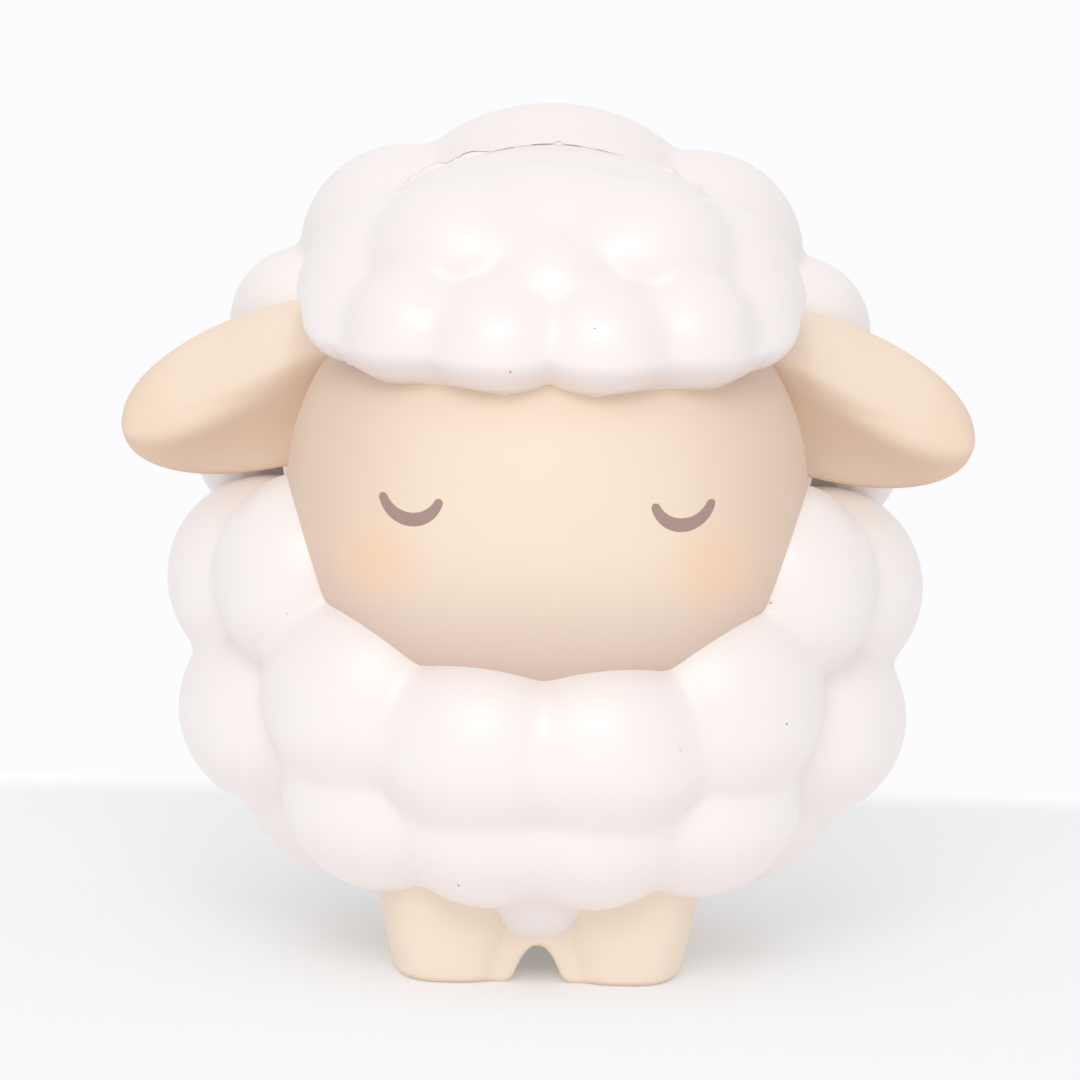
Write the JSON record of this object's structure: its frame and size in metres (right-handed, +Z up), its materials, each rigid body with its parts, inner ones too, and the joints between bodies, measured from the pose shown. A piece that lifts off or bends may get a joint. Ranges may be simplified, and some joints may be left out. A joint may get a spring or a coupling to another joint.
{
  "type": "squishy toy sheep",
  "caption": "Soft foam toy sheep: round puffed wool body, cream face with closed eyes, drooping ears, stub legs with flat soles.",
  "frame": {"origin": "on the floor, under the middle of the whole figure's box", "axes": "+Z up, -Y the way the face looks, +X the sheep's own left"},
  "size_m": [0.121, 0.0952, 0.1203],
  "materials": {
    "wool_foam": "satin",
    "cream_foam": "matte",
    "printed_ink": "matte"
  },
  "bodies": {
    "body": {"body_fleece": "wool_foam", "leg_left": "cream_foam", "leg_right": "cream_foam", "tail": "wool_foam"},
    "head": {"head": "cream_foam", "fringe": "wool_foam", "crown": "wool_foam", "eye_left": "printed_ink", "eye_right": "printed_ink"},
    "ear_left": {"ear_left": "cream_foam"},
    "ear_right": {"ear_right": "cream_foam"}
  },
  "joints": [
    {"name": "squeeze", "type": "slide", "parent": "body", "child": "head", "axis": [0, 0, -1], "range_m": [0, 0.02], "stiffness_N_per_m": 600, "springref_m": -0.001, "deforming": ["body_fleece"]},
    {"name": "ear_flex_left", "type": "hinge", "parent": "head", "child": "ear_left", "pos_m": [0.0365, -0.00042, 0.081], "axis": [0, 0, -1], "range_deg": [0, 40], "stiffness_Nm_per_rad": 0.03},
    {"name": "ear_flex_right", "type": "hinge", "parent": "head", "child": "ear_right", "pos_m": [-0.0365, -0.00042, 0.081], "axis": [0, 0, 1], "range_deg": [0, 40], "stiffness_Nm_per_rad": 0.03}
  ]
}
